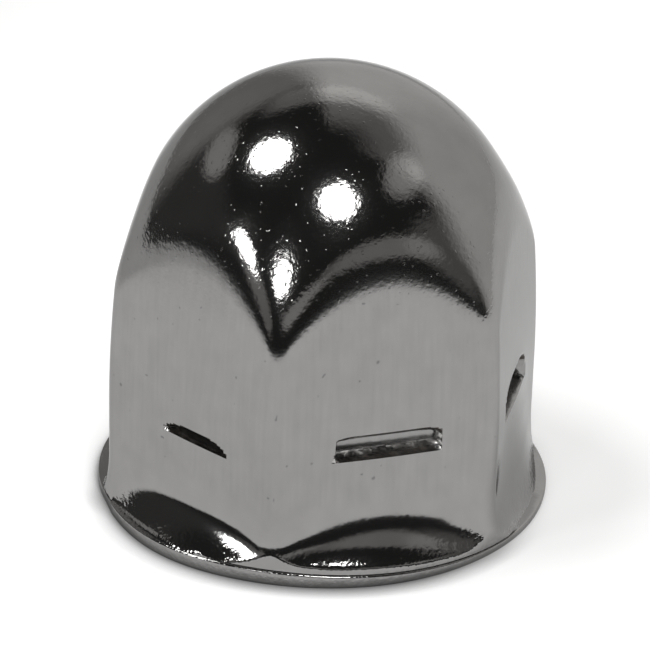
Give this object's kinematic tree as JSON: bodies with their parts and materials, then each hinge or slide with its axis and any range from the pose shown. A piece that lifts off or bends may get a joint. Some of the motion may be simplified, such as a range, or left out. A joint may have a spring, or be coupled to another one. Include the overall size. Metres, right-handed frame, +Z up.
{
  "type": "lug nut cover",
  "caption": "Chrome-plated push-on lug nut cover: hexagonal body, smooth dome, round flared skirt and inward-lanced gripping tabs, open underneath.",
  "frame": {"origin": "centre of the rim's underside, on the cap's axis", "axes": "+Z runs up the cap's axis to the dome; one of the six flats faces -Y"},
  "size_m": [0.0406, 0.0406, 0.0393],
  "materials": {
    "chrome": "polished, with fine polishing marks and slight orange peel"
  },
  "bodies": {
    "root": {"cover": "chrome"}
  },
  "joints": []
}
